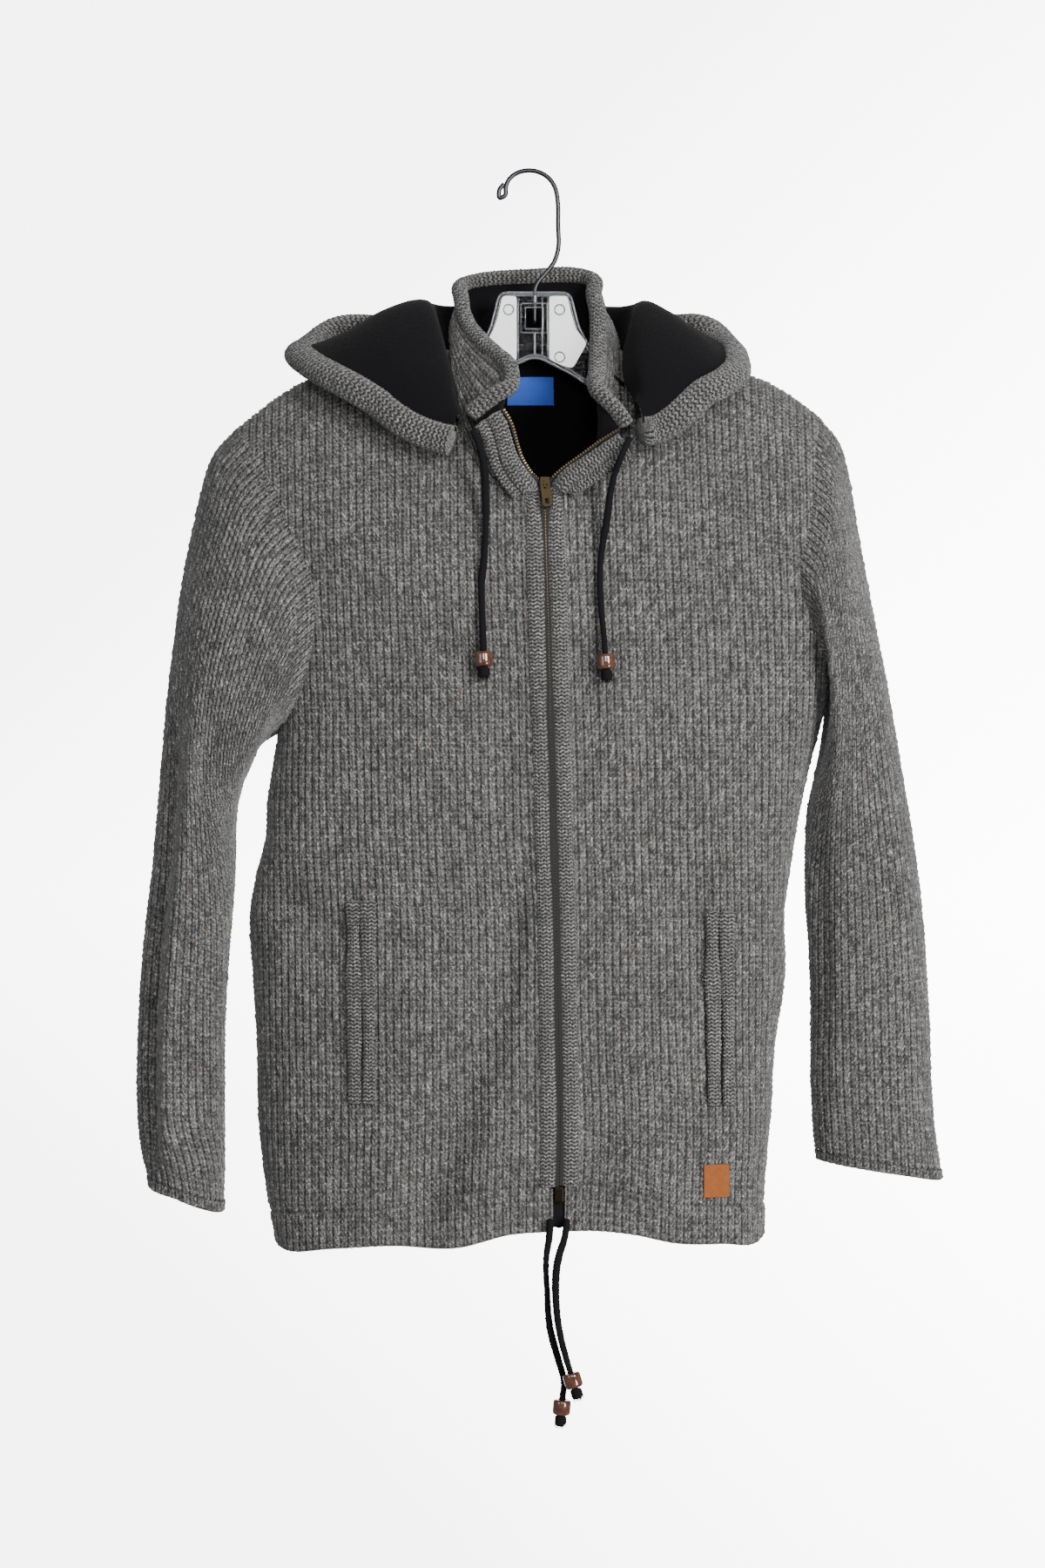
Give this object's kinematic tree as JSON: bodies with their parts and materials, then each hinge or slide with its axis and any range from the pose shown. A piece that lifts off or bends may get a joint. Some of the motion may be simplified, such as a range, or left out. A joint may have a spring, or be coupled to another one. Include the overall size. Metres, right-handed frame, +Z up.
{
  "type": "hooded zip knit jacket on hanger",
  "caption": "Hooded jacket in chunky grey marl knit with a full zip, stand collar, black fleece lining and drawcords, hung on a clear plastic hanger.",
  "frame": {"origin": "the lowest point of the rail's contact inside the hanger's hook, where the whole part hangs", "axes": "+Z up, -Y the front of the jacket, +X the viewer's right when facing the front"},
  "size_m": [0.6263, 0.1969, 0.9692],
  "materials": {
    "grey_knit": "chunky stockinette knit of grey marl wool yarn",
    "black_fleece": "matt black fleece",
    "black_cord": "matt round black cord",
    "zip_tape": "black woven tape with moulded teeth",
    "aged_brass": "aged brass, dull",
    "brown_bead": "glossy red brown",
    "tan_leather": "plain tan leather",
    "blue_label": "plain woven blue label",
    "clear_plastic": "clear, slightly scuffed",
    "steel_wire": "plain drawn wire"
  },
  "bodies": {
    "garment": {"back": "grey_knit", "back_lining": "black_fleece", "bead_hem_cord_left": "brown_bead", "bead_hem_cord_right": "brown_bead", "bead_hood_cord_left": "brown_bead", "bead_hood_cord_right": "brown_bead", "collar": "grey_knit", "collar_lining": "black_fleece", "collar_roll": "grey_knit", "cuff_left": "grey_knit", "cuff_right": "grey_knit", "front_left": "grey_knit", "front_right": "grey_knit", "hanger_body": "clear_plastic", "hanger_hook": "steel_wire", "hem_back": "grey_knit", "hem_cord_left": "black_cord", "hem_cord_right": "black_cord", "hem_front_left": "grey_knit", "hem_front_right": "grey_knit", "hood": "grey_knit", "hood_cord_left": "black_cord", "hood_cord_right": "black_cord", "hood_lining": "black_fleece", "hood_roll": "grey_knit", "knot_hem_cord_left": "black_cord", "knot_hem_cord_right": "black_cord", "knot_hood_cord_left": "black_cord", "knot_hood_cord_right": "black_cord", "leather_patch": "tan_leather", "neck_label": "blue_label", "sleeve_left": "grey_knit", "sleeve_right": "grey_knit", "slider": "aged_brass", "welt_left_a": "grey_knit", "welt_left_b": "grey_knit", "welt_right_a": "grey_knit", "welt_right_b": "grey_knit", "zip_band_left": "grey_knit", "zip_band_right": "grey_knit", "zip_bottom_box": "aged_brass", "zip_strip_left": "zip_tape", "zip_strip_right": "zip_tape"},
    "pull_tab": {"pull_tab": "aged_brass"}
  },
  "joints": [
    {"name": "pull_tab_hinge", "type": "hinge", "parent": "garment", "child": "pull_tab", "pos_m": [0.01227, -0.0606, -0.24826], "axis": [-0.9923, -0.038, -0.1176], "range_deg": [0, 150]}
  ]
}
